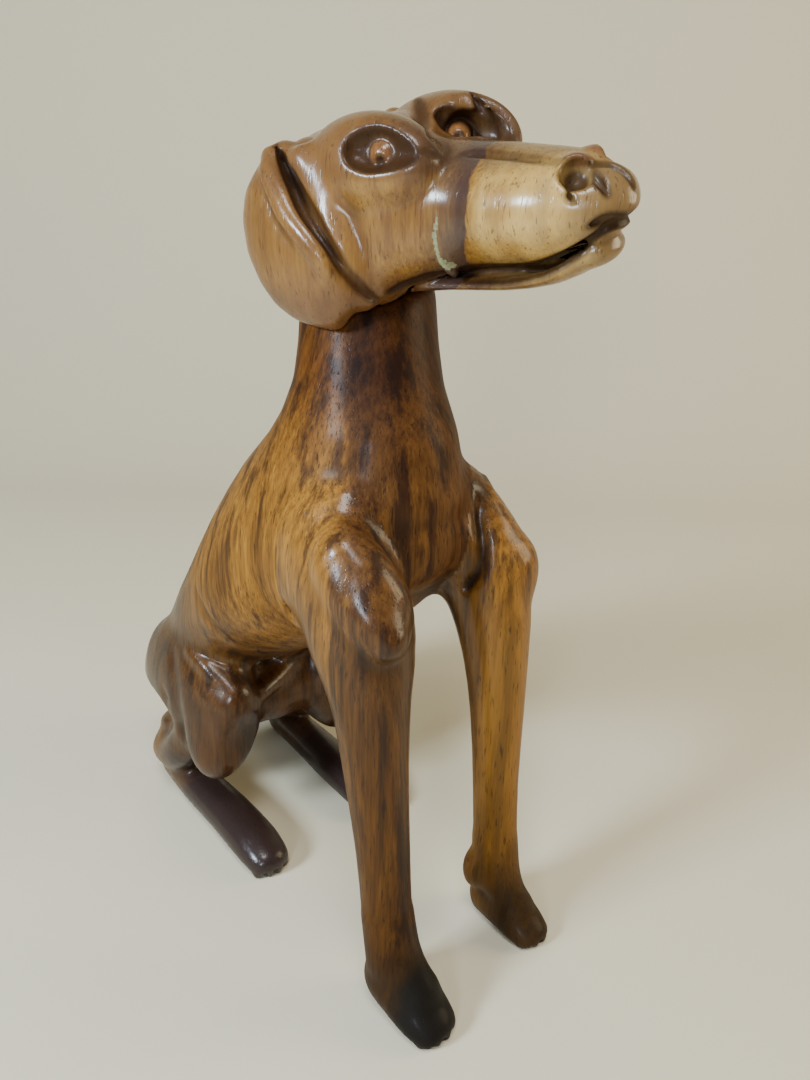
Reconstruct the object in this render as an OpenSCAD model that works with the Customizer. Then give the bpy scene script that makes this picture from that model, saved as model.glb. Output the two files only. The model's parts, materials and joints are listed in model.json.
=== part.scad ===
// Carved sitting hound, one hardwood figure in sixteen blocks that meet face to face.
// The dog faces -Y, its left side is +X, and it sits on the plane Z = 0. Millimetres.

/* [Figure] */
// Height of the figure, from the soles to the top of the brow
figure_height = 293; // [230:1:400]
// Sides of each lofted form
ring_sides = 28; // [20:4:40]
// Rings between two stations of a loft
ring_steps = 2; // [2:1:4]

/* [Head] */
// Size of the head against the body
head_size = 0.98; // [0.94:0.01:1.04]
// Turn of the head to the dog's left, in degrees
head_turn = 7; // [0:1:12]
// Tilt of the head towards the dog's right shoulder, in degrees
head_tilt = 14; // [8:1:16]
// Radius of each eyeball
eye_r = 3.8; // [3.4:0.1:4.5]
// Gap between the upper lip and the lower jaw
mouth_gap = 2.5; // [1.5:0.1:3.5]

/* [Legs] */
// Half distance between the two forelegs
foreleg_x = 28; // [26:1:31]
// Half distance between the two hind feet
hind_x = 27; // [25:1:30]

/* [Hidden] */
modelled_height = 292.71;
base_centre = [4.5, 5.96, 0];
sole_cut = 1.6;
k = figure_height / modelled_height;
wood = [0.55, 0.33, 0.14];
dark_wood = [0.20, 0.11, 0.07];
head_at = [8, -14, 262];

// ---- Lofted forms ----
function unit(v) = v / norm(v);
function xyz(s) = [s[0], s[1], s[2]];
function bow(v, e) = sign(v) * pow(abs(v), 2 / e);
function curve(p, q, r, s, t) =
    0.5 * (2 * q + (r - p) * t + (2 * p - 5 * q + 4 * r - s) * t * t + (3 * q - p - 3 * r + s) * t * t * t);
// A smooth run of stations through the given ones
function run(st) = let (n = len(st)) concat(
    [for (i = [0 : n - 2], j = [0 : ring_steps - 1])
        curve(st[max(i - 1, 0)], st[i], st[i + 1], st[min(i + 2, n - 1)], j / ring_steps)],
    [st[n - 1]]);
function heading(rs, i) = unit(xyz(rs[min(i + 1, len(rs) - 1)]) - xyz(rs[max(i - 1, 0)]));
function ring(s, t, grow, shift, e) =
    let (u = unit([1, 0, 0] - t[0] * t), v = cross(t, u), c = xyz(s) + shift * t)
    [for (a = [0 : ring_sides - 1]) let (w = 360 * a / ring_sides, h = sin(w) > 0 ? s[4] : s[5])
        c + grow * (s[3] * bow(cos(w), e) * u + h * bow(sin(w), e) * v)];
// Closed skin over stations [x, y, z, half width, height above the line, depth below it]; first_cap and
// last_cap are how far the rounded ends stand past the first and the last station.
module loft(stations, first_cap = 4, last_cap = 4, e = 2) {
    rs = run(stations);
    n = len(rs);
    m = ring_sides;
    cap = [for (j = [1 : 4]) 90 * j / 4.4];
    rings = concat(
        [for (j = [3 : -1 : 0]) ring(rs[0], heading(rs, 0), cos(cap[j]), -first_cap * sin(cap[j]), e)],
        [for (i = [0 : n - 1]) ring(rs[i], heading(rs, i), 1, 0, e)],
        [for (j = [0 : 3]) ring(rs[n - 1], heading(rs, n - 1), cos(cap[j]), last_cap * sin(cap[j]), e)]);
    rows = len(rings);
    polyhedron(
        points = [for (r = rings) each r],
        faces = concat(
            [[for (a = [0 : m - 1]) a]],
            [for (i = [0 : rows - 2], a = [0 : m - 1]) let (b = (a + 1) % m)
                each [[i * m + a, (i + 1) * m + a, (i + 1) * m + b], [i * m + a, (i + 1) * m + b, i * m + b]]],
            [[for (a = [m - 1 : -1 : 0]) (rows - 1) * m + a]]));
}
module blob(at, size, turn = [0, 0, 0], sides = 28) {
    translate(at) rotate(turn) scale(size) sphere(r = 1, $fn = sides);
}
module whole() {
    scale(k) translate(-base_centre) resize([0, 0, 0]) union() children();
}
module ground_cut() {
    translate([-150, -150, -60]) cube([300, 300, 60]);
}

// ---- Trunk ----
trunk = [
    [0,  82,  42, 27, 19, 15],
    [0,  74,  60, 33, 28, 22],
    [0,  62,  82, 35, 31, 24],
    [0,  42, 106, 36, 33, 26],
    [0,  16, 132, 39, 37, 35],
    [0,  -8, 158, 38, 38, 43],
    [0, -20, 184, 32, 31, 40],
    [2, -20, 208, 24, 22.5, 26],
    [6, -15, 230, 22, 21, 22],
    [8, -13, 244, 21, 20, 20]];
module trunk_form() {
    loft(trunk, 10, 6);
    blob([0, -42, 162], [21, 18, 20]);
}

// ---- Head, drawn about its own centre ----
skull = [
    [0,  24, -3, 20, 18, 15],
    [0,  14, -2, 26, 24, 23],
    [0,   0, -1, 27, 25, 27],
    [0, -14,  0, 27, 25, 27],
    [0, -28,  0, 26, 21, 23],
    [0, -40,  0, 21, 16, 18],
    [0, -56,  0, 17.5, 14.5, 16],
    [0, -70,  0, 17, 13.5, 14.5],
    [0, -80,  0, 14, 11.5, 9],
    [0, -87,  0, 10, 8.5, 5.5]];
right_brow = [[-15, -18, 13], [13, 24, 14.5]];
left_brow = [[17, -19.5, 12.5], [14, 25.5, 14.5]];
right_eye_at = [-16, -24, 18];
left_eye_at = [16, -25, 15.5];
module head_pose() translate(head_at) rotate([0, 0, head_turn]) rotate([-2, 0, 0])
    rotate([0, -head_tilt, 0]) scale(head_size) children();
module skull_form() {
    loft(skull, 5, 3, 2.2);
    for (b = [right_brow, left_brow]) blob(b[0], b[1]);
    for (s = [-1, 1]) blob([s * 17, -9, -12], [13, 20, 15]);
}
// The right socket opens sideways, and the left one forwards
module socket(side) {
    if (side < 0) blob([-23.5, -28.5, 19.5], [8, 12, 7.3], [0, 0, -14]);
    else blob([12, -31.5, 20], [7, 9, 7]);
}
module eyeball(side) blob(side < 0 ? right_eye_at : left_eye_at, [eye_r, eye_r, eye_r], sides = 20);
jaw = [
    [0, -22, -20.5, 17, 3.5, 4],
    [0, -40, -19.6, 15, 2.6, 3],
    [0, -58, -18.8, 13.5, 2.6, 3],
    [0, -71, -16.6, 12, 3.4, 3.2],
    [0, -79, -12.6, 9.5, 4.6, 3.6],
    [0, -84, -10, 7, 3.6, 3.4]];
// The tongue of wood that closes the mouth behind the lips
tongue = [
    [0, -24, -17, 12, 4, 3],
    [0, -44, -17, 9, 4, 3],
    [0, -62, -16, 7, 4, 3]];
module jaw_form() loft(jaw, 3, 3);
module lip_gap() translate([0, 0, -mouth_gap]) loft([for (s = skull) if (s[1] < -30) s], 0, 3, 2.2);
module nostril(side) blob([side * 9, -82, 8], [3, 3.4, 3], sides = 16);
module nose_form() blob([0, -86.4, 1], [8.4, 6.6, 8.2], sides = 20);
ear = [
    [-24,   9,  19, 4, 5, 5],
    [-29,  10,  10, 5, 12, 14],
    [-33,   8,  -1, 5, 16, 18.5],
    [-35,   1, -11, 5, 18, 18],
    [-35,  -8, -19, 5, 15, 12],
    [-33, -14, -24, 4, 9, 7]];
module ear_form() loft(ear, 3, 2);
// The crack down the right cheek
crack = [
    [-18.5, -43.5,  0, 2, 0.8, 0.8],
    [-18.5, -43,   -6, 2, 1.2, 1.2],
    [-18, -43,  -11, 2, 1.6, 1.6],
    [-15, -44,  -15, 2, 1.4, 1.4]];
module filler_form() loft(crack, 1, 1);

// ---- Legs ----
right_leg = [
    [ 3, -36, 172, 10, 14, 16],
    [ 1, -46, 156, 14, 19, 20],
    [ 2, -56, 138, 16.5, 16, 18],
    [ 0, -63, 120, 12.5, 12, 13],
    [ 0, -66,  96, 10.3, 10.5, 11],
    [ 1, -69,  66, 8.6, 9.5, 10],
    [ 1, -72,  40, 8.3, 9, 9],
    [ 1, -75,  22, 8.8, 9, 9]];
left_leg = [
    [-2, -36, 170, 10, 14, 15],
    [ 1, -46, 154, 14.5, 18, 19],
    [ 2, -55, 136, 13.5, 15, 16],
    [ 1, -61, 116, 10.8, 11.5, 12],
    [ 1, -64,  92, 8.8, 9.5, 10],
    [ 1, -66,  64, 7.5, 8.5, 9],
    [ 1, -68,  40, 7.5, 8.5, 8.5],
    [ 1, -70,  22, 8, 8.5, 8.5]];
right_paw = [
    [ 2, -70, 13, 7.5, 9, 13],
    [ 3, -80, 12, 9.5, 9, 12],
    [ 4, -90,  8, 10, 7, 8],
    [ 5, -97,  5, 8.5, 4.5, 5]];
left_paw = [
    [2, -64, 12, 6.5, 8, 12],
    [3, -74, 11, 8, 8, 11],
    [4, -84,  7, 8.5, 6, 7],
    [4, -90,  5, 7, 4, 5]];
module foreleg_form(side) translate([side * foreleg_x, 0, 0]) {
    loft(side < 0 ? right_leg : left_leg, 6, 6);
    translate([0, 0, -sole_cut]) loft(side < 0 ? right_paw : left_paw, 5, 3);
}
thigh = [
    [-3, 94, 50, 13, 15, 16],
    [-1, 80, 58, 15.5, 26, 26],
    [ 0, 60, 64, 16.5, 27, 30],
    [ 1, 42, 63, 15, 25, 29],
    [ 1, 29, 61, 11, 19, 23]];
module thigh_form(side) mirror([side > 0 ? 0 : 1, 0, 0]) translate([hind_x - 2, 0, 0]) loft(thigh, 6, 7);
hock = [
    [0, 76, 46, 9, 9, 10],
    [1, 84, 30, 7, 8, 8],
    [1, 88, 14, 6.5, 7, 7]];
hind_foot = [
    [1, 88, 10, 7, 8, 10],
    [1, 64, 10, 8.5, 8, 10],
    [0, 38, 10, 9.5, 8, 10],
    [0, 15,  9, 10, 8, 9],
    [0,  4,  7, 9, 6, 7]];
module hind_foot_form(side) mirror([side > 0 ? 0 : 1, 0, 0])
    translate([hind_x + (side > 0 ? 3 : 0), 0, 0]) {
        translate([0, 0, -sole_cut]) loft(hind_foot, 6, 5);
        loft(hock, 4, 3);
    }
tail_line = [
    [4,  92, 40, 8, 8, 8],
    [7, 103, 26, 6.5, 6.5, 6.5],
    [14, 110, 12, 6, 6, 6],
    [27, 109, 6, 5.5, 5.5, 5.5],
    [41, 100, 5, 4.5, 4.5, 4.5],
    [47, 87, 4, 3.5, 3.5, 3.5]];
module tail_form() loft(tail_line, 4, 4);

// ---- Nodes ----
module torso() color(wood) whole() difference() {
    trunk_form();
    head_pose() skull_form();
}
module head() color(wood) whole() head_pose() difference() {
    skull_form();
    for (s = [-1, 1]) socket(s);
    for (s = [-1, 1]) eyeball(s);
    for (s = [-1, 1]) nostril(s);
    filler_form();
}
module lower_jaw() color(wood) whole() difference() {
    head_pose() union() {
        difference() {
            jaw_form();
            lip_gap();
        }
        loft(tongue, 2, 2);
    }
    head_pose() skull_form();
    trunk_form();
}
module nose_pad() color(dark_wood) whole() head_pose() difference() {
    nose_form();
    skull_form();
}
module ear(side) color(wood) whole() difference() {
    head_pose() mirror([side > 0 ? 1 : 0, 0, 0]) ear_form();
    head_pose() skull_form();
    trunk_form();
}
module right_ear() ear(-1);
module left_ear() ear(1);
module right_eye() color(dark_wood) whole() head_pose() eyeball(-1);
module left_eye() color(dark_wood) whole() head_pose() eyeball(1);
module muzzle_filler() color([0.55, 0.58, 0.30]) whole() head_pose() filler_form();
module foreleg_node(side) color(wood) whole() difference() {
    foreleg_form(side);
    trunk_form();
    ground_cut();
}
module right_foreleg() foreleg_node(-1);
module left_foreleg() foreleg_node(1);
module thigh_node(side) color(wood) whole() difference() {
    thigh_form(side);
    trunk_form();
}
module right_thigh() thigh_node(-1);
module left_thigh() thigh_node(1);
module hind_foot_node(side) color(dark_wood) whole() difference() {
    hind_foot_form(side);
    thigh_form(side);
    trunk_form();
    ground_cut();
}
module right_hind_foot() hind_foot_node(-1);
module left_hind_foot() hind_foot_node(1);
module tail() color(wood) whole() difference() {
    tail_form();
    trunk_form();
    for (s = [-1, 1]) thigh_form(s);
    for (s = [-1, 1]) hind_foot_form(s);
    ground_cut();
}

torso();
head();
lower_jaw();
nose_pad();
right_ear();
left_ear();
right_eye();
left_eye();
muzzle_filler();
right_foreleg();
left_foreleg();
right_thigh();
left_thigh();
right_hind_foot();
left_hind_foot();
tail();
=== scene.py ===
"""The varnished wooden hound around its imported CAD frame.

The CAD nodes are turned into a block of distances, softened, carved with the knife marks that the solids leave
out, and cut apart again into one closed piece for each node. All carving is given in millimetres.
"""

import json
import math

import bpy
import numpy as np
import openvdb as vdb
from mathutils import Matrix, Vector


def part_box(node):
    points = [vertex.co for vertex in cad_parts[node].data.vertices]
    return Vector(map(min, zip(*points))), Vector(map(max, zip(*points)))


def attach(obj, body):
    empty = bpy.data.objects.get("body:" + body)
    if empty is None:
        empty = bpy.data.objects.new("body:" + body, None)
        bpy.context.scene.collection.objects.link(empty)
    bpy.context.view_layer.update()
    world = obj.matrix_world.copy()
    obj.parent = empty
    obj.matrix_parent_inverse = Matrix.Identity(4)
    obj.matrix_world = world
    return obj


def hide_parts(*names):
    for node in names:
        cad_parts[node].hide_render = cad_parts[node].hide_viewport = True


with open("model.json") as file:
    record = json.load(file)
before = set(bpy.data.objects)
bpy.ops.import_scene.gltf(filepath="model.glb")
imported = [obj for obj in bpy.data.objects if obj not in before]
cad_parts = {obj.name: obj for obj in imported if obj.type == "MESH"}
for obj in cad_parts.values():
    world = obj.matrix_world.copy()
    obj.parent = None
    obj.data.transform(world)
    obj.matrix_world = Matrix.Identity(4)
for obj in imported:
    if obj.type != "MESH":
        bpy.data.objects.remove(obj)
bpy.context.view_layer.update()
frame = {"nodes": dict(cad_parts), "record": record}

MM = 0.001
FAR = 8.0  # distances are kept up to this far from a surface, in mm
COARSE = 1.0
HEAD_VOXEL, BODY_VOXEL = 0.55 * COARSE, 0.8 * COARSE
SLOTS = {s["node"]: s["material_slot"] for s in frame["record"]["subparts"]}
RIGHT, LEFT = 1, -1  # tools are placed for the dog's right side, and LEFT mirrors them
VIEW_AZIMUTH = math.radians(-40.6)  # the photograph is taken from here
SOOT_AND_SHADE_REACH = 1.3  # old wax, dirt and painted shade end this far outside a cut, in mm
HOLLOW_REACH = 2.2  # how far round a point the wood counts when its hollows are found, in mm
DIRT_AND_SHADE_GAIN, SHALLOW_SKIP = 1.5, 0.12  # dirt and painted shade for each mm of hollow, and the amount taken off it so that shallow hollows stay bare
LID_SEARCH = np.arange(-8, 9)  # how far in and out from a rim a lid's hub may lie, in mm

# Middles of five nodes in the head's own axes
LANDMARKS = {"right_eye": (-16, -24, 18), "left_eye": (16, -25, 15.5), "nose_pad": (0, -89.2, 1),
             "right_ear": (-30.6, 2.8, -3.1), "left_ear": (29.7, 3.4, -3.6)}


def middle(node):
    """Centre of a CAD node's box, in mm."""
    low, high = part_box(node)
    return (np.array(low) + np.array(high)) / 2 / MM


# ---- The block of distances ----
def smooth_min(a, b, k):
    h = np.maximum(k - np.abs(a - b), 0) / k
    return np.minimum(a, b) - h * h * k / 4


def blur(field, reach):
    """Gaussian blur over reach voxels."""
    n = int(math.ceil(2.5 * reach))
    weights = np.exp(-0.5 * (np.arange(-n, n + 1) / reach) ** 2)
    weights = (weights / weights.sum()).astype(np.float32)
    for axis in range(3):
        margin = [(n, n) if i == axis else (0, 0) for i in range(3)]
        padded = np.pad(field, margin, mode="edge")
        total = np.zeros_like(field)
        for i, w in enumerate(weights):
            cut = [slice(None)] * 3
            cut[axis] = slice(i, i + field.shape[axis])
            total += w * padded[tuple(cut)]
        field = total
    return field


class Clay:
    """A block of signed distances in mm, negative inside the wood."""

    def __init__(self, nodes, voxel, margin=10.0):
        boxes = [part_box(n) for n in nodes]
        low = np.min([b[0] for b in boxes], 0) / MM - margin
        high = np.max([b[1] for b in boxes], 0) / MM + margin
        self.voxel = voxel
        self.first = np.floor(low / voxel).astype(int)
        shape = np.ceil(high / voxel).astype(int) - self.first + 1
        self.axes = [((self.first[i] + np.arange(shape[i])) * voxel).astype(np.float32) for i in range(3)]
        self.names = list(nodes)
        self.d = np.full(shape, FAR, np.float32)
        self.nearest = np.full(shape, FAR, np.float32)
        self.label = np.zeros(shape, np.int8)
        self.soot_and_shade = np.zeros(shape, np.float32)

    def node(self, name):
        """Signed distance to one CAD node."""
        mesh = frame["nodes"][name].data
        mesh.calc_loop_triangles()
        points = np.empty(len(mesh.vertices) * 3, np.float32)
        mesh.vertices.foreach_get("co", points)
        triangles = np.empty(len(mesh.loop_triangles) * 3, np.int32)
        mesh.loop_triangles.foreach_get("vertices", triangles)
        band = FAR / self.voxel
        grid = vdb.FloatGrid.createLevelSetFromPolygons(
            points.reshape(-1, 3) / MM, triangles=triangles.reshape(-1, 3).astype(np.uint32),
            transform=vdb.createLinearTransform(voxelSize=self.voxel), exBandWidth=band, inBandWidth=band)
        out = np.empty(self.d.shape, np.float32)
        grid.copyToArray(out, ijk=tuple(int(i) for i in self.first))
        return out

    def join(self, name, k, labelled=True):
        """Adds a CAD node, melted into what is there over k mm."""
        d = self.node(name)
        if labelled:
            self.label[d < self.nearest] = self.names.index(name)
            self.nearest = np.minimum(self.nearest, d)
        self.d = smooth_min(self.d, d, k)

    def mark(self, shape, name):
        """Gives the skin inside a shape to a node's piece."""
        cut, distance = shape(self, 0)
        self.label[cut] = np.where(distance < 0, self.names.index(name), self.label[cut])

    def soften(self, reach):
        """Blur over reach mm."""
        self.d = blur(self.d, reach / self.voxel)

    def region(self, low, high):
        """Slices and point coordinates of the part of the block between two corners."""
        cut, axes = [], []
        for i in range(3):
            a = min(max(int(low[i] / self.voxel) - self.first[i] - 1, 0), self.d.shape[i] - 1)
            b = min(max(int(high[i] / self.voxel) - self.first[i] + 2, a + 1), self.d.shape[i])
            cut.append(slice(a, b))
            axes.append(self.axes[i][a:b])
        return tuple(cut), np.stack(np.meshgrid(*axes, indexing="ij"), -1)

    def put(self, shape, k):
        """Adds wood."""
        cut, distance = shape(self, k)
        self.d[cut] = smooth_min(self.d[cut], distance, k)

    def cut(self, shape, k, soot_and_shade=0.0):
        """Takes wood away and leaves a share of old wax and dirt, with painted shade, on the cut."""
        cut, distance = shape(self, k)
        self.d[cut] = -smooth_min(-self.d[cut], distance, k)
        self.soot_and_shade[cut] = np.maximum(self.soot_and_shade[cut], soot_and_shade * np.clip(SOOT_AND_SHADE_REACH - distance, 0, 1))

    def wipe(self, shape, soot_and_shade=0.0):
        """Sets the dirt and painted shade inside a shape."""
        cut, distance = shape(self, 0)
        self.soot_and_shade[cut] = np.where(distance < 0, soot_and_shade, self.soot_and_shade[cut])

    def sample(self, field, points):
        """Value of a field at points in mm, linear between voxels."""
        at = points / self.voxel - self.first
        low = np.clip(np.floor(at).astype(int), 0, np.array(field.shape) - 2)
        f = at - low
        value = 0
        for corner in np.ndindex(2, 2, 2):
            w = np.prod(np.where(corner, f, 1 - f), 1)
            value = value + w * field[tuple((low + corner).T)]
        return value

    def surface(self):
        """Vertices in mm and quads of the wood's skin."""
        grid = vdb.FloatGrid(FAR)
        grid.transform = vdb.createLinearTransform(voxelSize=self.voxel)
        grid.copyFromArray(self.d, ijk=tuple(int(i) for i in self.first))
        points, _, quads = grid.convertToPolygons(isovalue=0.0, adaptivity=0.0)
        return points.astype(float), quads.astype(int)


# ---- Carving tools ----
class Place:
    """Where carving is measured from: an origin in mm, three axes and a scale."""

    def __init__(self, origin=(0, 0, 0), axes=np.eye(3), scale=1.0):
        self.origin, self.axes, self.scale = np.array(origin, float), np.array(axes, float), scale

    def world(self, points, side=RIGHT):
        points = np.atleast_2d(np.array(points, float)) * (side, 1, 1)
        return self.origin + self.scale * points @ self.axes


def head_place():
    """The head's own axes: x to the dog's left, y to the back of the skull, z up through the crown."""
    a = np.array(list(LANDMARKS.values()), float)
    b = np.array([middle(n) for n in LANDMARKS])
    a_mid, b_mid = a.mean(0), b.mean(0)
    u, s, vt = np.linalg.svd((a - a_mid).T @ (b - b_mid))
    axes = u @ np.diag([1, 1, np.sign(np.linalg.det(u @ vt))]) @ vt
    scale = s.sum() / ((a - a_mid) ** 2).sum()
    return Place(b_mid - scale * a_mid @ axes, axes, scale)


def ball(place, at, size, side=RIGHT, turn=0.0):
    """An ellipsoid, turned about the place's z axis by turn degrees."""
    size = np.broadcast_to(np.array(size, float), 3) * place.scale
    centre = place.world(at, side)[0]
    c, s = math.cos(math.radians(turn * side)), math.sin(math.radians(turn * side))
    axes = np.array([[c, s, 0], [-s, c, 0], [0, 0, 1]]) @ place.axes

    def shape(clay, k):
        reach = size.max() + k + FAR / 2
        cut, points = clay.region(centre - reach, centre + reach)
        local = (points - centre) @ axes.T
        near = np.linalg.norm(local / size, axis=-1)
        steep = np.linalg.norm(local / size**2, axis=-1)
        return cut, near * (near - 1) / np.maximum(steep, 1e-6)

    return shape


def tube(place, points, radii, side=RIGHT):
    """A round bar along a smooth line through points, with a radius at each."""
    radii = np.broadcast_to(np.array(radii, float), len(points))
    path = curve(np.column_stack([points, radii]))
    radii = path[:, 3] * place.scale
    path = place.world(path[:, :3], side)

    def shape(clay, k):
        reach = radii.max() + k + FAR / 2
        cut, grid = clay.region(path.min(0) - reach, path.max(0) + reach)
        distance = np.full(grid.shape[:-1], FAR * 2, np.float32)
        for p, q, r0, r1 in zip(path[:-1], path[1:], radii[:-1], radii[1:]):
            along = np.clip((grid - p) @ (q - p) / ((q - p) @ (q - p)), 0, 1)
            off = np.linalg.norm(grid - p - along[..., None] * (q - p), axis=-1)
            distance = np.minimum(distance, off - r0 - along * (r1 - r0))
        return cut, distance

    return shape


def curve(points, steps=3):
    """A smooth line through a few points."""
    p = np.array(points, float)
    p = np.vstack([2 * p[0] - p[1], p, 2 * p[-1] - p[-2]])
    t = (np.arange(steps) / steps)[:, None]
    line = [0.5 * (2 * b + (c - a) * t + (2 * a - 5 * b + 4 * c - d) * t**2 + (3 * b - a - 3 * c + d) * t**3)
            for a, b, c, d in zip(p, p[1:], p[2:], p[3:])]
    return np.vstack(line + [p[-2:-1]])


# ---- Head ----
HEAD = ["head", "right_ear", "left_ear", "nose_pad", "lower_jaw", "right_eye", "left_eye", "muzzle_filler"]


def carve_sockets(clay, head):
    """The right eye looks sideways out of an almond, the left one forwards out of a notch under the brow."""
    clay.put(ball(head, (-15, -18, 13), (13, 24, 14.5)), 2)
    clay.put(ball(head, (17, -19.5, 12.5), (14, 25.5, 14.5)), 2)
    almond = [(-25.6, -24, 20.6), (-24.8, -28.5, 20.8), (-23.4, -34, 19.6), (-21.5, -38.5, 18.2), (-20, -43, 17.6)]
    # The almond's inside is painted dark as shade.
    clay.wipe(tube(head, almond, [5.6, 7.1, 5.8, 3.4, 1.2]), 0.9)
    clay.cut(tube(head, almond, [4.8, 6.2, 4.9, 2.6, 0.5]), 0.8, 0.85)
    clay.cut(ball(head, (-25, -28, 17.6), (4.5, 6, 3)), 0.8, 0.85)
    clay.cut(ball(head, (5, -35, 20.8), (6.5, 8, 4.4)), 2)
    notch = [(13, -29, 16.6), (14, -36, 16.6), (15, -43, 16.8)]
    clay.cut(tube(head, notch, [5.6, 5.6, 4.6]), 0.3, 0.7)
    clay.cut(ball(head, (9, -29, 21), (3.2, 6, 4)), 0.3, 0.7)
    clay.cut(tube(head, [(19, -29, 25), (18, -34, 20.5), (18, -37, 14)], [0.8, 1.6, 1.6]), 0.3, 0.9)
    slit = [(13.2, -12, 27.2), (7.8, -18.4, 25), (3.4, -23, 22.2), (-1, -27, 20.6)]
    clay.cut(tube(head, slit, [0.6, 1.3, 1.3, 0.6]), 0.3, 0.8)
    clay.cut(ball(head, (12, -34, 27), (6, 6, 6)), 1.5)
    rim = [(17, -27, 29), (19, -36, 24), (20, -42, 19), (20, -46, 12)]
    clay.cut(tube(head, rim, [0.8, 1.6, 2.2, 1.6]), 0.8)
    valley = [(13, -5, 29), (8, -14, 28.2), (2, -24, 22.8), (-5, -33, 20.4), (-12, -38.5, 19.6)]
    clay.cut(tube(head, valley, [1, 2.2, 2.2, 1.6, 0.8]), 1)


def carve_eyes(clay, head):
    """Each eyeball stands on a short stalk and has a drilled pupil."""
    for name, out, pupil in (("right_eye", (-2.6, -3, -0.8), (-3.6, -1.4, -1)),
                             ("left_eye", (-4.5, -3.5, -0.2), (-2.9, -2.6, 0.8))):
        clay.join(name, 0.8, labelled=False)
        at = np.array(LANDMARKS[name])
        centre = at + out
        clay.put(tube(head, [at, centre], [3.8, 3.7]), 0.8)
        clay.mark(ball(head, centre, 4.1), name)
        clay.wipe(ball(head, centre, 4.6))
        clay.cut(ball(head, centre + 1.1 * np.array(pupil), 1.5), 0.6, 0.9)


def carve_ear(clay, head, side):
    """A rolled rim between the wide groove behind the cheek and a crease on the ear's flap."""
    clay.put(tube(head, [(-16, 6, 14), (-18, -1, 8), (-20, -8, 1), (-21, -12, -6)], [8.5, 9, 9, 8], side), 2)
    clay.put(tube(head, [(-24, 8, 19), (-26, 3, 14), (-28, -3, 7.5), (-30, -9, 1), (-31, -13, -5)], 4, side), 3)
    cheek = [(-25, -1, 18), (-26, -7, 11), (-27, -12, 4), (-28, -15, -4), (-28.5, -16.5, -12), (-27, -17, -20)]
    clay.put(tube(head, cheek, [4, 4, 4, 4.5, 5, 4.5], side), 4)
    rim = [(-27, 12, 20), (-31.5, 8, 15.5), (-34, 2, 10), (-36, -3, 4.5), (-37, -9.5, -1), (-37.3, -14.5, -7.5),
           (-36, -16, -15)]
    clay.put(tube(head, rim, [2.2, 3.6, 4, 4, 3.6, 2.8, 1.5], side), 1.5)
    flap = [(-31, 12, 18.5), (-35.5, 8, 12), (-38.5, 3.5, 5), (-40.5, -3.5, -1), (-41.5, -7, -7), (-41.5, -9, -13)]
    clay.cut(tube(head, flap, [0.8, 1.8, 2.2, 2, 1.5, 0.5], side), 1.2)
    groove = [(-25.5, 9, 21), (-28, 3, 15.5), (-31.5, -3, 9), (-34, -9.5, 3), (-34.5, -14, -2.5),
              (-34, -18.5, -9.5), (-31, -21, -16), (-26, -21, -21.5)]
    clay.cut(tube(head, groove, [1.2, 2.5, 2.7, 2.6, 2, 1.4, 1.3, 0.7], side), 0.5, 0.75)


def carve_nose(clay, head):
    """A folded nostril with a comma-shaped cut below it on each side, a crooked parting and a line underneath."""
    for side in (RIGHT, LEFT):
        clay.put(ball(head, (-4.4, -78.8, 11), (4, 3.8, 2.6), side), 2)
        clay.cut(ball(head, (-8.2, -81.6, 9.6), (4.5, 4.3, 4.5), side), 0.5, 0.5)
        fold = [(-9.5, -79.5, 6.5), (-11.6, -81, 5), (-12.6, -83.2, 4.2)]
        clay.cut(tube(head, fold, [1.3, 1, 0.4], side), 0.4, 0.8)
        comma = [(-5.2, -84.2, 9), (-6.2, -86.2, 6.9), (-6.9, -88.7, 4.4)]
        clay.cut(tube(head, comma, [0.9, 1.3, 0.6], side), 0.4, 0.9)
    parting = [(-3, -83, 10.4), (0.5, -85.6, 9.4), (1, -89.4, 7.2), (0.6, -92, 4)]
    clay.cut(tube(head, parting, [1, 1.3, 1.1, 0.5]), 0.4, 0.8)
    under = [(-10.5, -85, -2), (-7.6, -89.4, -1.6), (0, -92, -3.6), (7.6, -89.4, -1.6), (10.5, -85, -2)]
    clay.cut(tube(head, under, [0.6, 1.4, 1.8, 1.4, 0.6]), 0.6, 0.9)


def carve_mouth(clay, head):
    """The gap between the lips, painted dark as shade, with wood behind it, over a blunt chin."""
    clay.put(tube(head, [(0, -56, -15), (0, -70, -12), (0, -82, -7)], [7, 6, 5]), 1)
    clay.put(ball(head, (0, -80.5, -10.8), (8.6, 6.8, 4.6)), 1.5)
    lip = [(-22.5, -24, -19.8), (-20, -29, -17.8), (-17.4, -37.5, -16), (-14.6, -45, -16.3), (-13.2, -58, -16),
           (-11.6, -72, -13), (-9.6, -80, -9.4), (-7.4, -86.6, -4.6), (-4, -90, -3.4), (0, -91, -3.6)]
    behind = [(-14, -45, -15.6), (-10.5, -58, -15), (-8, -72, -12), (-6, -81, -8)]
    for side in (RIGHT, LEFT):
        clay.cut(tube(head, lip, [0.6, 1.2, 1.6, 1.9, 1.9, 1.9, 1.8, 1.6, 1.5, 1.5], side), 0.3, 1.0)
        clay.cut(tube(head, behind, 1.7, side), 0.3, 1.0)


def carve_creases(clay, head):
    """The long crease along each side of the muzzle's flat top."""
    for side in (RIGHT, LEFT):
        crease = [(-18, -40.5, 17.6), (-11, -44, 16), (-7, -48, 15), (-7.2, -60.8, 14), (-7.8, -70, 13.2),
                  (-7.6, -77, 12.6)]
        clay.cut(tube(head, crease, [0.6, 1.1, 1.4, 1.5, 1.5, 1], side), 0.5, 0.5)


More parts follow.
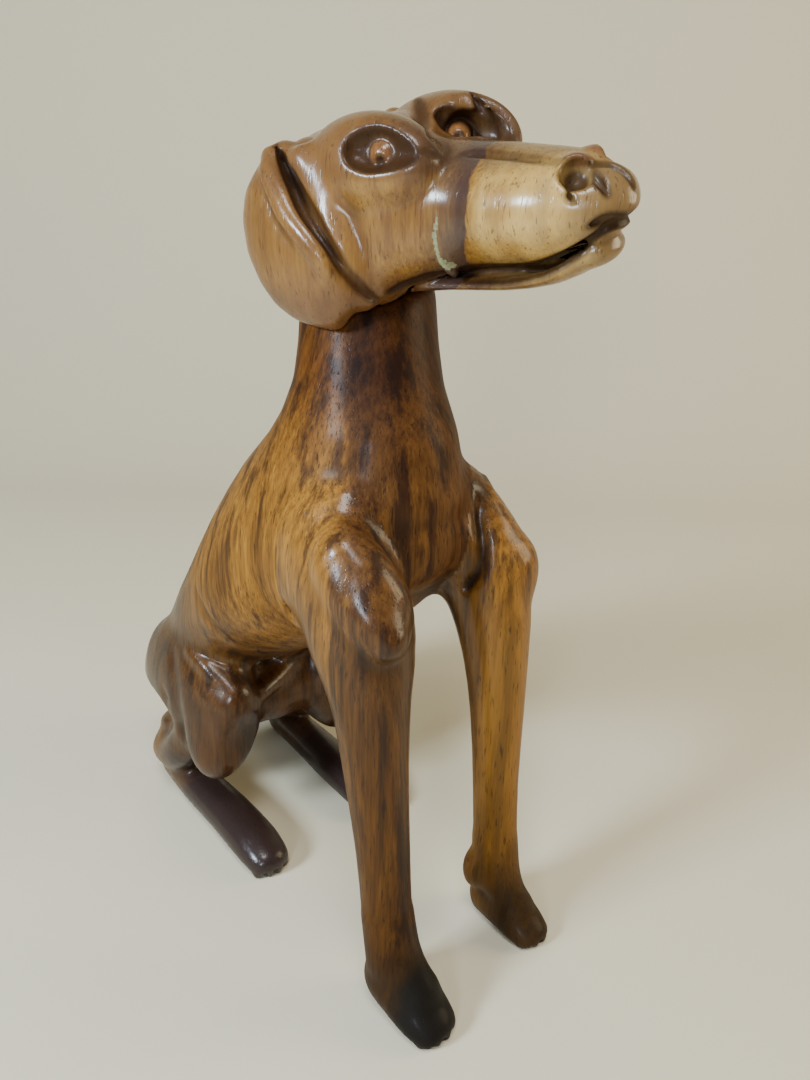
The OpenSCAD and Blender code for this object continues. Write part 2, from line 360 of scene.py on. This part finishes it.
def carve_muzzle(clay, head):
    """Fills out the bridge of the muzzle and its cheeks."""
    clay.put(tube(head, [(0, -38, 10), (0, -56, 9.2), (0, -72, 7.6)], [6.4, 6.2, 5.4]), 3)
    for side in (RIGHT, LEFT):
        clay.put(tube(head, [(-18, -2, -8), (-17, -22, -9), (-12.5, -40, -7)], [9, 9, 7], side), 6)
        clay.put(tube(head, [(-10, -58, 0), (-8, -70, 0), (-6, -79, 0)], [9.5, 9.5, 7.5], side), 6)


def carve_crack(clay, head):
    """A narrow crack down the right cheek, filled a little short of flush."""
    clay.join("muzzle_filler", 0.3, labelled=False)
    crack = [(-19.8, -44.2, 2), (-20.6, -43, -4), (-20.2, -43, -9.5), (-19, -44, -11.8), (-16.8, -45.3, -12.6)]
    clay.cut(tube(head, crack, 0.6), 0.3)
    clay.mark(tube(head, crack, [0.4, 0.7, 0.9, 1.2, 0.8]), "muzzle_filler")


def carve_head():
    """The head's block, from the softened CAD nodes to the last knife cut."""
    clay = Clay(HEAD, HEAD_VOXEL)
    head = head_place()
    for name in ("head", "nose_pad"):
        clay.join(name, 1.5)
    carve_muzzle(clay, head)
    for name in ("right_ear", "left_ear"):
        clay.join(name, 2.5)
    clay.soften(1.4)
    carve_sockets(clay, head)
    for side in (RIGHT, LEFT):
        carve_ear(clay, head, side)
    clay.join("lower_jaw", 0.8)
    clay.soften(0.5)
    carve_mouth(clay, head)
    carve_creases(clay, head)
    carve_nose(clay, head)
    carve_eyes(clay, head)
    carve_crack(clay, head)
    clay.soften(0.4)
    return clay


# ---- Body ----
BODY = ["torso", "right_foreleg", "left_foreleg", "right_thigh", "left_thigh", "right_hind_foot",
        "left_hind_foot", "tail"]
MELT = {"torso": 0.5, "right_foreleg": 9.0, "left_foreleg": 9.0, "right_thigh": 7.0, "left_thigh": 7.0,
        "right_hind_foot": 3.0, "left_hind_foot": 3.0, "tail": 4.0}


def carve_shoulder(clay, side):
    """Two muscle ridges over the shoulder, the groove beside the chest and the notch behind the elbow."""
    right = side == RIGHT
    leg = Place(middle("right_foreleg" if right else "left_foreleg"))
    clay.put(ball(leg, (-1, 34, 62), (10, 17, 22), side), 8)
    if right:
        clay.put(tube(leg, [(-6, 10, 77), (-3, 3, 70), (1, -1, 62), (2, 0, 52)], [6, 7, 6.6, 5]), 8)
        clay.put(tube(leg, [(-10.5, 11, 73), (-8.5, 4.5, 67), (-6, -2.5, 60.5), (-3.5, -7.5, 55.5)],
                      [3, 5.6, 6.4, 5.6]), 5)
        clay.put(tube(leg, [(-5, 13, 84.5), (-4, 7.6, 81), (-2.4, 2.2, 76), (-0.8, -1.8, 70), (2.4, -3, 62)],
                      [1.6, 2.4, 2.6, 2.4, 1.4]), 2)
    else:
        clay.put(tube(leg, [(-3.5, 14.5, 86.5), (-1, 9, 82), (1.5, 4.6, 76), (4, 2.6, 70), (6.5, 3, 63)],
                      [1.2, 1.8, 2, 1.8, 1.2], side), 1.5)
    beside = ([(3, 10, 87), (6.5, 5, 79), (9.5, 1.5, 72), (12.5, -1, 64), (15, 1.5, 55)] if right else
              [(7, 7, 86), (8.5, 4, 78), (10, 0, 70), (11.5, -1, 62), (13, 3, 54)])
    clay.cut(tube(leg, beside, [1, 2, 2.5, 2.6, 1.6], side), 1.5, 0.7 if right else 0.3)
    clay.cut(tube(leg, [(-9, 34, 50), (-14, 28, 42), (-15, 20, 32)], [2, 3.4, 1.6], side), 3)


def carve_flank(clay, side):
    """The lower edge of the ribs over the hollow in front of the haunch."""
    trunk = Place(middle("torso"))
    edge = [(-40, 18, -12), (-39, 6, -26), (-31, -1, -38), (-20, -13, -38)]
    clay.cut(tube(trunk, edge, [1.5, 3, 3.4, 2], side), 3)


def carve_haunch(clay, side):
    """The crest of the thigh, the knee below it, the dimple behind and the tendon to the belly."""
    thigh = Place(middle("right_thigh" if side == RIGHT else "left_thigh"))
    clay.put(ball(thigh, (-5, -24, -15), (10.5, 11, 15.5), side), 6)
    clay.put(tube(thigh, [(-8, -14, 26.5), (-6.5, -24, 23), (-3, -32, 17)], [2.5, 3.4, 3.2], side), 2)
    clay.cut(tube(thigh, [(-16, -5, 22), (-19, -11, 12), (-18.5, -12, 0), (-14.5, -9, -14)], [1, 2, 2, 1], side), 6)
    clay.cut(ball(thigh, (-18.5, 0, 1), (3, 4.5, 5.5), side), 2)
    clay.cut(ball(thigh, (1, -54.5, -10), (24, 19, 22), side), 3)


def carve_groin(clay):
    """The mass of wood between the thighs, with a tendon over it."""
    trunk = Place(middle("torso"))
    clay.put(ball(trunk, (4, 24, -77), (26, 13, 15)), 8)
    clay.put(tube(trunk, [(-18, 8, -69), (-6, 13, -68), (9, 18, -64)], [3.2, 3.4, 3.2]), 3)
    clay.cut(ball(trunk, (-7, 13, -58), (8, 7, 5.5)), 2)


def carve_hock(clay, side):
    """The shank runs down from the thigh to the heel, hollow behind."""
    foot = Place(middle("right_hind_foot" if side == RIGHT else "left_hind_foot"))
    clay.put(tube(foot, [(-4, 10, 20), (-5, 18, 9), (-5, 28, 0), (-4, 38, -4)], [8, 9, 8.6, 8], side), 5)
    clay.cut(tube(foot, [(-21, 14, 28), (-13, 30, 24.5), (-6, 46, 21.5)], [5, 9, 9.5], side), 3)


def carve_wrist(clay, side):
    """Blends the leg into the top of the paw."""
    leg = Place(middle("right_foreleg" if side == RIGHT else "left_foreleg"))
    if side == RIGHT:
        clay.put(tube(leg, [(-1, -9, -52), (0, -13, -66), (2.5, -21, -77)], [7.2, 7.4, 7]), 4)
        clay.put(ball(leg, (-0.2, -11, -76), (7.8, 9, 9)), 5)
    else:
        clay.put(tube(leg, [(-0.5, -8, -52), (-0.5, -12, -66), (1.5, -19, -77)], [6.6, 6.6, 6.2]), 4)
        clay.put(ball(leg, (-6.2, -4, -66), (4.2, 4.4, 8)), 4)
        clay.cut(ball(leg, (-11, -7, -77.5), (4, 4, 2)), 1)


def carve_toes(clay, name, middle_x, front, apart):
    """Four rounded toes along the front edge of the sole."""
    foot = Place(middle(name))
    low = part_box(name)[0][2] / MM - foot.origin[2]
    for step, back, size in ((-1.5, 2.6, 2.5), (-0.5, 0.4, 2.9), (0.5, 0, 2.9), (1.5, 2, 2.6)):
        clay.put(ball(foot, (middle_x + apart * step, front + size + back, low + 2.6), (size * 0.8, size, 3)), 0.8)
    for step, back in ((-1, 1.2), (0, 0), (1, 1)):
        x = middle_x + apart * step
        path = [(x, front + back + 5, low + 6.5), (x, front + back + 1, low + 3.5), (x, front + back, low)]
        clay.cut(tube(foot, path, [0.3, 1, 1.2]), 0.6)


def carve_body():
    """The block of the trunk, the legs and the tail."""
    clay = Clay(BODY, BODY_VOXEL)
    for name in BODY:
        clay.join(name, MELT[name])
    clay.soften(1.8)
    for side in (RIGHT, LEFT):
        carve_shoulder(clay, side)
        carve_flank(clay, side)
        carve_haunch(clay, side)
        carve_hock(clay, side)
        carve_wrist(clay, side)
    carve_groin(clay)
    left_leg = Place(middle("left_foreleg"))
    clay.put(ball(left_leg, (6, 1, 57), (9, 8, 11)), 6)
    clay.soften(0.6)
    carve_toes(clay, "right_foreleg", 2.4, -35.6, 4)
    carve_toes(clay, "left_foreleg", 3, -32.5, 3.6)
    carve_toes(clay, "right_hind_foot", 0, -47.4, 4)
    carve_toes(clay, "left_hind_foot", 0, -47.4, 4)
    floor = clay.axes[2][None, None, :]
    clay.d = np.maximum(clay.d, -floor)
    clay.soften(0.35)
    return clay


# ---- Cutting the skin into closed pieces ----
def groups(quads):
    """A number for each quad, the same for all quads that touch through shared corners."""
    known, flat = np.unique(quads, return_inverse=True)
    flat = flat.reshape(-1, 4)
    ids = np.arange(len(known))
    while True:
        before = ids.copy()
        np.minimum.at(ids, flat.ravel(), np.repeat(ids[flat].min(1), 4))
        ids = ids[ids]
        if (ids == before).all():
            return ids[flat[:, 0]]


def outer_skin(quads):
    """Drops the small shells inside the wood."""
    group = groups(quads)
    return quads[group == np.bincount(group).argmax()]


def settle(quads, labels):
    """Gives stray patches of a label to the piece around them."""
    for label in np.unique(labels):
        mine = np.flatnonzero(labels == label)
        group = groups(quads[mine])
        main = np.bincount(group).argmax()
        for stray in np.unique(group[group != main]):
            members = mine[group == stray]
            around = np.isin(quads, quads[members]).any(1) & (labels != label)
            if around.any():
                labels[members] = np.bincount(labels[around]).argmax()
    return labels


def rims(quads):
    """Closed loops of vertices round the open edges of a sheet, in the order that a lid's faces need."""
    edges = np.stack([quads, np.roll(quads, -1, 1)], -1).reshape(-1, 2)
    known = set(map(tuple, edges.tolist()))
    after = {}
    for a, b in edges.tolist():
        if (b, a) not in known:
            after.setdefault(b, []).append(a)
    loops = []
    while after:
        start = next(iter(after))
        loop, at = [], start
        while at in after:
            loop.append(at)
            following = after[at].pop()
            if not after[at]:
                del after[at]
            at = following
            if at == start:
                break
        loops.append(loop)
    return loops


def build_pieces(clay, materials):
    """Cuts the skin apart along the labels. A fan of faces to a hub deep in the wood closes each open rim."""
    points, quads = clay.surface()
    quads = outer_skin(quads)
    # Concave places are darkened as dirt and painted shade, and the cuts add their own share.
    hollow = clay.sample(blur(clay.d, HOLLOW_REACH / clay.voxel), points) - clay.sample(clay.d, points)
    dirt_and_shade = np.maximum(np.clip(-DIRT_AND_SHADE_GAIN * hollow - SHALLOW_SKIP, 0, 1), clay.sample(clay.soot_and_shade, points))
    centres = points[quads].mean(1)
    at = np.clip(np.rint(centres / clay.voxel - clay.first).astype(int), 0, np.array(clay.d.shape) - 1)
    labels = settle(quads, clay.label[tuple(at.T)].astype(int))
    facing = np.cross(points[quads[:, 2]] - points[quads[:, 0]], points[quads[:, 3]] - points[quads[:, 1]])
    normals = np.zeros_like(points)
    for i in range(4):
        np.add.at(normals, quads[:, i], facing)
    normals /= np.maximum(np.linalg.norm(normals, axis=1, keepdims=True), 1e-9)
    for i, name in enumerate(clay.names):
        mine = quads[labels == i]
        used, faces = np.unique(mine, return_inverse=True)
        faces = faces.reshape(-1, 4)
        corners = points[used].tolist()
        smooth, dark = normals[used].tolist(), dirt_and_shade[used].tolist()
        lids = []
        inside = middle(name)
        for loop in rims(faces):
            centre = points[used][loop].mean(0)
            inward = (inside - centre) / max(np.linalg.norm(inside - centre), 1e-6)
            places = centre + LID_SEARCH[:, None] * inward
            hub = len(corners)
            corners.append(places[clay.sample(clay.d, places).argmin()].tolist())
            smooth.append((-inward).tolist())
            dark.append(0.0)
            lids += [(a, b, hub) for a, b in zip(loop, loop[1:] + loop[:1])]
        mesh = bpy.data.meshes.new("carved_" + name)
        mesh.from_pydata((np.array(corners) * MM).tolist(), [], faces.tolist() + lids)
        mesh.update()
        mesh.attributes.new("dirt_and_shade", "FLOAT", "POINT").data.foreach_set("value", np.array(dark, np.float32))
        piece = bpy.data.objects.new("carved_" + name, mesh)
        bpy.context.collection.objects.link(piece)
        mesh.shade_smooth()
        mesh.normals_split_custom_set_from_vertices(smooth)
        mesh.materials.append(materials[SLOTS[name]])
        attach(piece, "root")
        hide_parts(name)


# ---- Materials ----
class Nodes:
    """A material's node tree, with a short way to add to it."""

    def __init__(self, name):
        self.material = bpy.data.materials.new(name)
        self.material.use_nodes = True
        self.tree = self.material.node_tree
        self.shader = self.tree.nodes["Principled BSDF"]

    def add(self, kind, settings=None, **inputs):
        node = self.tree.nodes.new("ShaderNode" + kind)
        for key, value in (settings or {}).items():
            setattr(node, key, value)
        for key, value in inputs.items():
            self.set(node, int(key[1:]) if key[0] == "i" and key[1:].isdigit() else key.replace("_", " "), value)
        return node

    def set(self, node, key, value):
        if isinstance(value, bpy.types.NodeSocket):
            self.tree.links.new(value, node.inputs[key])
        else:
            node.inputs[key].default_value = value

    def math(self, operation, a, b=0.0, c=0.0):
        return self.add("Math", {"operation": operation}, i0=a, i1=b, i2=c).outputs[0]

    def span(self, value, low, high, at_low, at_high):
        """at_low up to low, at_high from high on, and a straight run between them."""
        node = self.add("MapRange", Value=value, From_Min=low, From_Max=high, To_Min=at_low, To_Max=at_high)
        return node.outputs[0]

    def ramp(self, factor, stops):
        node = self.add("ValToRGB", Fac=factor)
        marks = node.color_ramp.elements
        while len(marks) < len(stops):
            marks.new(0.5)
        for mark, (position, colour) in zip(marks, stops):
            mark.position = position
            mark.color = (*colour, 1) if isinstance(colour, tuple) else (colour, colour, colour, 1)
        return node.outputs[0]

    def mix(self, factor, a, b, blend="MIX"):
        node = self.add("Mix", {"data_type": "RGBA", "blend_type": blend})
        self.set(node, 0, factor)
        self.set(node, 6, a if isinstance(a, bpy.types.NodeSocket) else (*a, 1))
        self.set(node, 7, b if isinstance(b, bpy.types.NodeSocket) else (*b, 1))
        return node.outputs[2]

    def noise(self, vector, stretch, detail=3.0, roughness=0.5):
        """Noise with a scale of its own along x, y and z, in cycles a metre."""
        scaled = self.add("VectorMath", {"operation": "MULTIPLY"}, i0=vector, i1=stretch).outputs[0]
        return self.add("TexNoise", Vector=scaled, Scale=1.0, Detail=detail, Roughness=roughness).outputs["Fac"]


def wood(name, light, dark, streak, streaks, ring_depth, gloss, stain_and_shade=None, shine=None):
    """Varnished wood with its grain along Z. The stain-and-shade function, called with nodes, position and colour,
    returns the colour again.

    shine is two pairs of a height in metres and the share of the gloss there.
    """
    n = Nodes(name)
    position = n.add("TexCoord").outputs["Object"]
    warp = n.noise(position, (14, 14, 5), 2)
    x, y, z = n.add("SeparateXYZ", Vector=position).outputs
    pith_x, pith_y = 0.030, 0.040
    ring_rate = 2300.0  # radians a metre: a ring every 2.7 mm
    away = n.math("SQRT", n.math("ADD", n.math("POWER", n.math("SUBTRACT", x, pith_x), 2.0),
                                 n.math("POWER", n.math("SUBTRACT", y, pith_y), 2.0)))
    rings = n.math("SINE", n.math("MULTIPLY_ADD", away, ring_rate, n.math("MULTIPLY", warp, 30.0)))
    patches = n.noise(position, (38, 38, 9), 4, 0.6)
    fibre = n.noise(position, (900, 900, 40), 3, 0.65)
    figure = n.math("MULTIPLY_ADD", rings, ring_depth, n.math("MULTIPLY", patches, 0.85))
    figure = n.math("ADD", figure, n.math("MULTIPLY_ADD", fibre, 0.8, -0.36))
    colour = n.ramp(figure, [(0.22, dark), (0.70, light)])
    lines = n.ramp(n.noise(position, (170, 170, 7), 5, 0.65), [(0.50, 0.0), (0.62, 1.0)])
    colour = n.mix(n.math("MULTIPLY", lines, streaks), colour, streak)
    if stain_and_shade:
        colour = stain_and_shade(n, position, colour)
    pores = n.ramp(n.noise(position, (1500, 1500, 150), 1, 0.4), [(0.62, 0.0), (0.72, 1.0)])
    colour = n.mix(n.math("MULTIPLY", pores, 0.55), colour, tuple(0.3 * v for v in streak))
    # Dirt and painted shade darken hollows and cut marks, and dull the coat there.
    dirt_and_shade = n.add("Attribute", {"attribute_name": "dirt_and_shade"}).outputs["Fac"]
    colour = n.mix(n.math("MULTIPLY", dirt_and_shade, 0.92), colour, tuple(0.2 * v for v in streak))
    n.set(n.shader, "Base Color", colour)
    wear = n.noise(position, (60, 60, 60), 4)
    n.set(n.shader, "Roughness", n.span(wear, 0.0, 1.0, 0.45, 0.65))
    n.shader.inputs["Specular IOR Level"].default_value = 0.1
    coat = n.math("MULTIPLY_ADD", dirt_and_shade, -0.9 * gloss, gloss)
    if shine:
        (bottom, at_bottom), (top, at_top) = shine
        coat = n.math("MULTIPLY", coat, n.span(z, bottom, top, at_bottom, at_top))
    n.set(n.shader, "Coat Weight", coat)
    n.shader.inputs["Coat Roughness"].default_value = 0.22
    knife = n.noise(position, (170, 170, 110), 1)
    relief = n.math("ADD", n.math("MULTIPLY", fibre, 0.16), n.math("MULTIPLY", knife, 0.3))
    relief = n.math("SUBTRACT", relief, n.math("MULTIPLY", pores, 0.2))
    bump = n.add("Bump", Height=relief, Strength=0.35, Distance=0.0006).outputs[0]
    n.set(n.shader, "Normal", bump)
    n.set(n.shader, "Coat Normal", bump)
    return n.material


def local_axes(n, position):
    """The head's own x, y and z in metres as three sockets."""
    head = head_place()
    origin = [float(v) * MM for v in head.origin]
    off = n.add("VectorMath", {"operation": "SUBTRACT"}, i0=position, i1=origin).outputs[0]
    return [n.add("VectorMath", {"operation": "DOT_PRODUCT"}, i0=off, i1=[float(v) for v in axis]).outputs["Value"]
            for axis in head.axes]


def near(n, position, place, at, reach):
    """1 at a point of a place, falling to 0 at reach mm from it."""
    centre = [float(v) * MM for v in place.world(at)[0]]
    away = n.add("VectorMath", {"operation": "DISTANCE"}, i0=position, i1=centre).outputs["Value"]
    return n.add("MapRange", {"interpolation_type": "SMOOTHSTEP"}, Value=away, From_Min=reach * MM * 0.4,
                 From_Max=reach * MM, To_Min=1.0, To_Max=0.0).outputs[0]


def head_tones(n, position, colour):
    """A pale scuffed muzzle behind a dark tip, a purple band, a darker top, back and throat, and rust at the nose."""
    _, y, z = local_axes(n, position)
    blotch = n.noise(position, (90, 90, 60), 4, 0.6)
    top = n.math("ADD", z, n.math("MULTIPLY_ADD", blotch, 0.008, -0.004))
    top = n.span(top, 0.0100, 0.0135, 0.0, 0.72)
    colour = n.mix(top, colour, (0.085, 0.042, 0.018))
    low = n.span(z, -0.018, -0.012, 0.75, 0.0)
    colour = n.mix(low, colour, (0.07, 0.028, 0.012))
    back = n.math("ADD", y, n.math("MULTIPLY_ADD", blotch, 0.05, -0.025))
    back = n.span(back, -0.046, -0.018, 0.0, 0.72)
    colour = n.mix(back, colour, (0.17, 0.075, 0.022))
    pale = n.span(y, -0.058, -0.052, 0.6, 0.0)
    pale = n.math("MULTIPLY", pale, n.math("SUBTRACT", 1.0, n.math("MAXIMUM", top, low)))
    colour = n.mix(n.math("MULTIPLY", pale, n.math("MULTIPLY_ADD", blotch, 1.2, 0.1)), colour, (0.62, 0.42, 0.14))
    scuff = n.ramp(n.noise(position, (75, 75, 24), 5, 0.7), [(0.44, 0.0), (0.64, 1.0)])
    colour = n.mix(n.math("MULTIPLY", scuff, 0.65), colour, (0.50, 0.40, 0.34), "MULTIPLY")
    tip = n.span(y, -0.084, -0.078, 0.75, 0.0)
    colour = n.mix(tip, colour, (0.13, 0.07, 0.028))
    bend = n.math("POWER", n.math("ABSOLUTE", n.math("SUBTRACT", z, 0.004)), 2.0)
    off = n.math("SUBTRACT", n.math("ADD", y, 0.053), n.math("MULTIPLY", bend, 20.0))
    off = n.math("ADD", off, n.math("MULTIPLY_ADD", blotch, 0.006, -0.003))
    band = n.ramp(n.math("MULTIPLY_ADD", off, 50.0, 0.2), [(0.18, 0.0), (0.21, 0.93), (0.45, 0.8), (1.0, 0.0)])
    colour = n.mix(band, colour, (0.040, 0.021, 0.018))
    for x in (-4.4, 4.4):
        rust = near(n, position, head_place(), (x, -80, 12.5), 4.5)
        colour = n.mix(n.math("MULTIPLY", rust, 0.75), colour, (0.15, 0.055, 0.018))
    return colour


def filler():
    """Dull yellow-green putty."""
    n = Nodes("crack_filler")
    position = n.add("TexCoord").outputs["Object"]
    grain = n.noise(position, (900, 900, 900), 4)
    n.set(n.shader, "Base Color", n.ramp(grain, [(0.3, (0.10, 0.10, 0.045)), (0.7, (0.26, 0.26, 0.13))]))
    n.shader.inputs["Roughness"].default_value = 0.6
    n.set(n.shader, "Normal", n.add("Bump", Height=grain, Strength=0.5, Distance=0.0004).outputs[0])
    return n.material


def heartwood_and_shade(n, position, colour):
    """The darker, redder heart of the block, with a wavy edge down the chest and neck, and painted shade deepening it
    towards the camera's right, away from the key lamp.
    """
    across = n.add("VectorMath", {"operation": "DOT_PRODUCT"}, i0=position, i1=(0.76, -0.65, 0.0)).outputs["Value"]
    wander = n.noise(position, (60, 60, 10), 5, 0.6)
    across = n.math("ADD", across, n.math("MULTIPLY_ADD", wander, 0.018, -0.009))
    share = n.ramp(n.math("MULTIPLY", across, 12.5), [(0.10, 0.0), (0.16, 0.75), (0.42, 0.65), (0.60, 0.9)])
    return n.mix(share, colour, (0.25, 0.21, 0.50), "MULTIPLY")


def trunk_tones(n, position, colour):
    """Heartwood with its painted shade, darker towards the bottom and the back over the haunches and belly, and a
    darker neck, partly painted shade under the head.
    """
    colour = heartwood_and_shade(n, position, colour)
    _, y, z = n.add("SeparateXYZ", Vector=position).outputs
    blotch = n.noise(position, (45, 45, 35), 4, 0.6)
    # Darker towards the bottom and the back.
    up = n.math("SUBTRACT", z, n.math("MULTIPLY", n.math("MAXIMUM", y, 0.0), 0.4))
    up = n.math("ADD", up, n.math("MULTIPLY_ADD", blotch, 0.06, -0.030))
    low = n.span(up, 0.060, 0.145, 0.95, 0.0)
    colour = n.mix(low, colour, (0.16, 0.11, 0.05), "MULTIPLY")
    # Partly the neck's darker wood, partly painted shade under the head.
    neck_and_shade = n.span(z, 0.180, 0.215, 0.0, 1.0)
    return n.mix(neck_and_shade, colour, (0.42, 0.32, 0.26), "MULTIPLY")


def foreleg_tones(n, position, colour):
    """The shoulder's heartwood with its painted shade over browner legs, a golden left leg with painted shade down
    one edge, and paws near black in front and inside.
    """
    x, y, z = n.add("SeparateXYZ", Vector=position).outputs
    left = n.math("GREATER_THAN", x, 0.0)
    wander = n.noise(position, (80, 80, 40), 4)
    drift = n.math("ADD", z, n.math("MULTIPLY_ADD", n.noise(position, (120, 120, 22), 5, 0.65), 0.08, -0.04))
    brown = n.span(drift, 0.125, 0.155, 1.0, 0.0)
    right = n.math("SUBTRACT", 1.0, left)
    heart_and_shade = n.mix(right, colour, heartwood_and_shade(n, position, colour))
    colour = n.mix(brown, heart_and_shade, n.mix(right, colour, (0.46, 0.40, 0.24), "MULTIPLY"))
    smoke = n.ramp(n.math("MULTIPLY", drift, 5.0), [(0.48, 0.0), (0.60, 0.6), (0.72, 0.6), (0.82, 0.0)])
    colour = n.mix(n.math("MULTIPLY", smoke, right), colour, (0.42, 0.38, 0.38), "MULTIPLY")
    across = n.math("SUBTRACT", n.math("MULTIPLY", x, 0.76), n.math("MULTIPLY", y, 0.65))
    across = n.math("ADD", across, n.math("MULTIPLY_ADD", wander, 0.008, -0.004))
    golden = n.span(across, 0.056, 0.062, 0.0, 0.45)
    golden = n.math("MULTIPLY", n.math("MULTIPLY", golden, left), brown)
    # Painted shade down the left leg's edge on the camera's left.
    shade = n.span(across, 0.053, 0.059, 0.75, 0.0)
    colour = n.mix(n.math("MULTIPLY", shade, left), colour, (0.30, 0.26, 0.22), "MULTIPLY")
    colour = n.mix(golden, colour, (0.24, 0.11, 0.010))
    foot = n.span(drift, 0.035, 0.085, 0.8, 0.0)
    colour = n.mix(foot, colour, (0.40, 0.36, 0.34), "MULTIPLY")
    across = n.math("SUBTRACT", across, n.math("MULTIPLY", left, 0.036))
    side = n.span(across, 0.027, 0.034, 0.5, 1.0)
    z = n.math("ADD", z, n.math("MULTIPLY_ADD", wander, 0.03, -0.015))
    down = n.span(z, 0.018, 0.040, 1.0, 0.0)
    down = n.math("MULTIPLY", down, n.math("SUBTRACT", 1.0, n.math("MULTIPLY", left, 0.25)))
    return n.mix(n.math("MULTIPLY", side, down), colour, (0.007, 0.0055, 0.004))


def hind_foot_tones(n, position, colour):
    """The hind feet are near black in front and brown at the heel."""
    y = n.add("SeparateXYZ", Vector=position).outputs[1]
    y = n.math("ADD", y, n.math("MULTIPLY_ADD", n.noise(position, (60, 60, 40), 4), 0.03, -0.015))
    share = n.span(y, 0.052, 0.078, 1.0, 0.0)
    return n.mix(share, colour, (0.024, 0.013, 0.011))


def all_materials():
    """One material for each slot of the record."""
    red_streak = (0.024, 0.008, 0.005)
    honey_streak = (0.11, 0.042, 0.016)
    light, dark = (0.32, 0.145, 0.022), (0.105, 0.038, 0.006)
    return {
        "head_wood": wood("honey_wood", (0.44, 0.240, 0.040), (0.17, 0.072, 0.012), honey_streak, 0.65, 0.02, 0.9,
                          head_tones),
        "body_wood": wood("chest_wood", light, dark, red_streak, 0.75, 0.05, 0.6, trunk_tones,
                          ((0.10, 1.0), (0.13, 0.1))),
        "leg_wood": wood("leg_wood", light, dark, red_streak, 0.75, 0.05, 0.55, foreleg_tones,
                         ((0.03, 0.1), (0.14, 1.0))),
        "foot_wood": wood("foot_wood", (0.140, 0.056, 0.006), (0.050, 0.018, 0.0025), red_streak, 0.6, 0.05, 0.5,
                          hind_foot_tones),
        "eye_wood": wood("eye_wood", (0.26, 0.11, 0.030), (0.12, 0.045, 0.012), honey_streak, 0.2, 0.0, 1.0),
        "filler": filler(),
    }


# ---- Studio ----
def studio():
    """A pale sheet that lies under the figure and curves up behind it, soft lamps and a weak warm one."""
    front, reach, radius, height, half_width = -2.5, 0.42, 0.30, 2.5, 3.0
    bend = [(reach + radius * math.sin(a), radius * (1 - math.cos(a))) for a in np.linspace(0, math.pi / 2, 24)]
    profile = [(front, 0.0)] + bend + [(reach + radius, height)]
    corners = [(side * half_width, out, up) for out, up in profile for side in (-1, 1)]
    faces = [(2 * i, 2 * i + 1, 2 * i + 3, 2 * i + 2) for i in range(len(profile) - 1)]
    mesh = bpy.data.meshes.new("studio_sheet")
    mesh.from_pydata(corners, [], faces)
    mesh.update()
    mesh.shade_smooth()
    sheet = bpy.data.objects.new("studio_sheet", mesh)
    bpy.context.collection.objects.link(sheet)
    sheet.rotation_euler[2] = VIEW_AZIMUTH
    n = Nodes("pale_sheet")
    n.shader.inputs["Base Color"].default_value = (0.68, 0.62, 0.46, 1)
    n.shader.inputs["Roughness"].default_value = 0.8
    mesh.materials.append(n.material)
    world = bpy.data.worlds.new("studio_world")
    bpy.context.scene.world = world
    world.use_nodes = True
    sky = world.node_tree.nodes["Background"]
    sky.inputs["Color"].default_value = (1.0, 0.95, 0.84, 1)
    sky.inputs["Strength"].default_value = 0.17
    softbox("key", (-0.85, 0.02, 0.55), 0.20, 13.0, (0.74, 0.87, 1.0))
    softbox("front", (-0.72, -0.62, 0.44), 0.16, 3.6, (0.80, 0.90, 1.0))
    softbox("top", (-0.30, -0.35, 1.05), 0.32, 6.5, (0.96, 0.97, 1.0))
    softbox("fill", (0.75, -0.60, 0.45), 0.50, 6.0, (1.0, 0.84, 0.55))


def softbox(name, at, size, power, colour):
    """A square lamp aimed at the middle of the figure."""
    data = bpy.data.lights.new(name, "AREA")
    data.energy, data.size, data.color = power, size, colour
    lamp = bpy.data.objects.new(name, data)
    bpy.context.collection.objects.link(lamp)
    lamp.location = at
    target = Vector((0, 0, 0.16))
    lamp.rotation_euler = (target - Vector(at)).to_track_quat("-Z", "Y").to_euler()


def camera():
    """A close camera that looks down at the dog's right front."""
    stands_at = Vector((-0.1735, -0.2470, 0.272))
    azimuth, down, roll = VIEW_AZIMUTH, math.radians(23.2), math.radians(1.8)
    forward = Vector((-math.sin(azimuth) * math.cos(down), math.cos(azimuth) * math.cos(down), -math.sin(down)))
    level = Vector((math.cos(azimuth), math.sin(azimuth), 0))
    below = forward.cross(level)
    right = math.cos(roll) * level - math.sin(roll) * below
    below = math.sin(roll) * level + math.cos(roll) * below
    lens = bpy.data.cameras.new("camera")
    lens.lens, lens.sensor_width = 28.9, 36
    view = bpy.data.objects.new("camera", lens)
    bpy.context.collection.objects.link(view)
    turn = Matrix((right, -below, -forward)).transposed().to_4x4()
    view.matrix_world = Matrix.Translation(stands_at) @ turn
    bpy.context.scene.camera = view


camera()
materials = all_materials()
build_pieces(carve_body(), materials)
build_pieces(carve_head(), materials)
studio()
